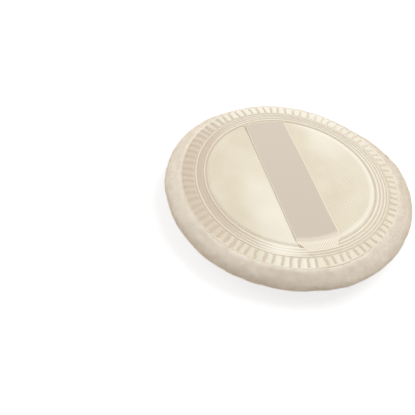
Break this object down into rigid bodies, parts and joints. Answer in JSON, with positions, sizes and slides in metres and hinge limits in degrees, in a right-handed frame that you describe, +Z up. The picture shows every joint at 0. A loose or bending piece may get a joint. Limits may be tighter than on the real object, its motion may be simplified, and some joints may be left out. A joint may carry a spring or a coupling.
{
  "type": "powder puff",
  "caption": "Round velour powder puff with a foam filling, an embossed satin back and a ribbon strap across it for the fingers.",
  "frame": {"origin": "middle of the velour face, on the surface that the puff lies on", "axes": "+Z up through the satin back, X along the ribbon strap"},
  "size_m": [0.09, 0.09, 0.0134],
  "materials": {
    "velour": "matte",
    "foam": "matte",
    "film": "satin",
    "satin": "satin",
    "ribbon": "satin"
  },
  "bodies": {
    "puff": {"velour_cover": "velour", "foam_filling": "foam", "sealing_film": "film", "satin_back": "satin"},
    "strap": {"ribbon_strap": "ribbon"}
  },
  "joints": [
    {"name": "strap_lift", "type": "slide", "parent": "puff", "child": "strap", "axis": [0, 0, 1], "range_m": [0, 0.008], "stiffness_N_per_m": 30, "deforming": ["ribbon_strap"]}
  ]
}
